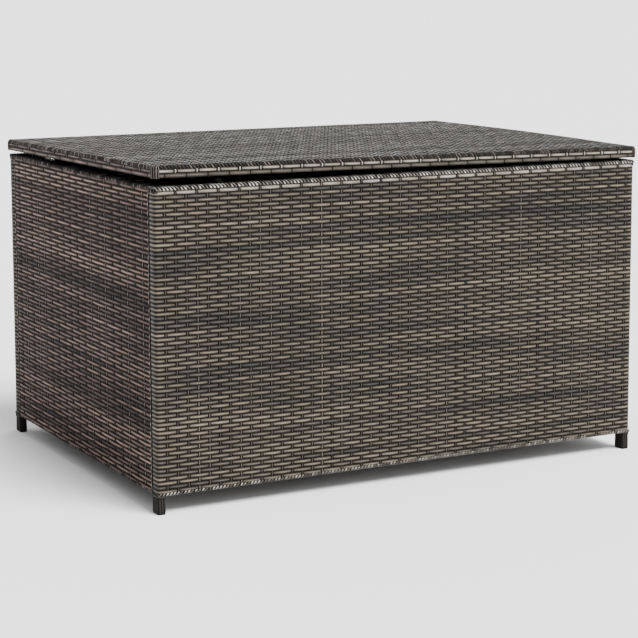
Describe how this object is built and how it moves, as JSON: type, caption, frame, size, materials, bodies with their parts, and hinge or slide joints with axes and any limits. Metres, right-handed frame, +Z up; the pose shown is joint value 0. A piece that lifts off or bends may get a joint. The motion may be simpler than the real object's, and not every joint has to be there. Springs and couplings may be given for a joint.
{
  "type": "wicker storage box",
  "caption": "Woven garden storage box with a hollow inside, short wrapped feet and a flat woven lid hinged at the back on gas struts.",
  "frame": {"origin": "on the ground, under the middle of the box", "axes": "+X along the front from left to right, +Y from the front to the hinged back, +Z up"},
  "size_m": [1.208, 0.888, 0.715],
  "materials": {
    "weave": "semi-gloss flat plastic strip in mixed grey and brown",
    "frame": "dark brown powder coat",
    "floor": "fine grained board",
    "hardware": "zinc plated",
    "strut_cylinder": "black satin",
    "strut_rod": "hard chrome",
    "rubber": "moulded"
  },
  "bodies": {
    "root": {"back_bottom_rail": "frame", "back_left_foot_glide": "rubber", "back_left_leg": "frame", "back_left_lower_bolt": "hardware", "back_left_upper_bolt": "hardware", "back_mid_post": "frame", "back_right_foot_glide": "rubber", "back_right_leg": "frame", "back_right_lower_bolt": "hardware", "back_right_upper_bolt": "hardware", "back_top_rail": "frame", "back_weave": "weave", "floor_board": "floor", "front_bottom_rail": "frame", "front_left_foot_glide": "rubber", "front_left_leg": "frame", "front_left_lower_bolt": "hardware", "front_left_upper_bolt": "hardware", "front_mid_post": "frame", "front_right_foot_glide": "rubber", "front_right_leg": "frame", "front_right_lower_bolt": "hardware", "front_right_upper_bolt": "hardware", "front_top_rail": "frame", "front_weave": "weave", "left_back_stile": "frame", "left_bottom_rail": "frame", "left_bumper": "rubber", "left_floor_bar": "frame", "left_front_stile": "frame", "left_hinge_body_leaf": "hardware", "left_hinge_pin": "hardware", "left_strut_body_bracket": "hardware", "left_top_rail": "frame", "left_weave": "weave", "right_back_stile": "frame", "right_bottom_rail": "frame", "right_bumper": "rubber", "right_floor_bar": "frame", "right_front_stile": "frame", "right_hinge_body_leaf": "hardware", "right_hinge_pin": "hardware", "right_strut_body_bracket": "hardware", "right_top_rail": "frame", "right_weave": "weave"},
    "lid": {"left_hinge_lid_leaf": "hardware", "left_strut_lid_bracket": "hardware", "lid_back_rail": "frame", "lid_front_rail": "frame", "lid_left_crossbar": "frame", "lid_left_rail": "frame", "lid_right_crossbar": "frame", "lid_right_rail": "frame", "lid_weave": "weave", "right_hinge_lid_leaf": "hardware", "right_strut_lid_bracket": "hardware"},
    "left_strut_cylinder_body": {"left_strut_cylinder": "strut_cylinder"},
    "left_strut_rod_body": {"left_strut_rod": "strut_rod"},
    "right_strut_cylinder_body": {"right_strut_cylinder": "strut_cylinder"},
    "right_strut_rod_body": {"right_strut_rod": "strut_rod"}
  },
  "joints": [
    {"name": "lid_hinge", "type": "hinge", "parent": "root", "child": "lid", "pos_m": [0, 0.436, 0.686], "axis": [-1, 0, 0], "range_deg": [0, 75]},
    {"name": "left_strut_swivel", "type": "hinge", "parent": "root", "child": "left_strut_cylinder_body", "pos_m": [-0.56, 0.36567, 0.52031], "axis": [-1, 0, 0], "range_deg": [0, 37.5]},
    {"name": "left_strut_slide", "type": "slide", "parent": "left_strut_cylinder_body", "child": "left_strut_rod_body", "axis": [0, -0.5736, 0.8192], "range_m": [0, 0.14643]},
    {"name": "right_strut_swivel", "type": "hinge", "parent": "root", "child": "right_strut_cylinder_body", "pos_m": [0.56, 0.36567, 0.52031], "axis": [-1, 0, 0], "range_deg": [0, 37.5]},
    {"name": "right_strut_slide", "type": "slide", "parent": "right_strut_cylinder_body", "child": "right_strut_rod_body", "axis": [0, -0.5736, 0.8192], "range_m": [0, 0.14643]}
  ],
  "couplings": [
    {"joint": "left_strut_swivel", "follows": "lid_hinge", "ratio": 0.5},
    {"joint": "left_strut_slide", "follows": "lid_hinge", "m_per_rad": 0.11187},
    {"joint": "right_strut_swivel", "follows": "lid_hinge", "ratio": 0.5},
    {"joint": "right_strut_slide", "follows": "lid_hinge", "m_per_rad": 0.11187}
  ]
}
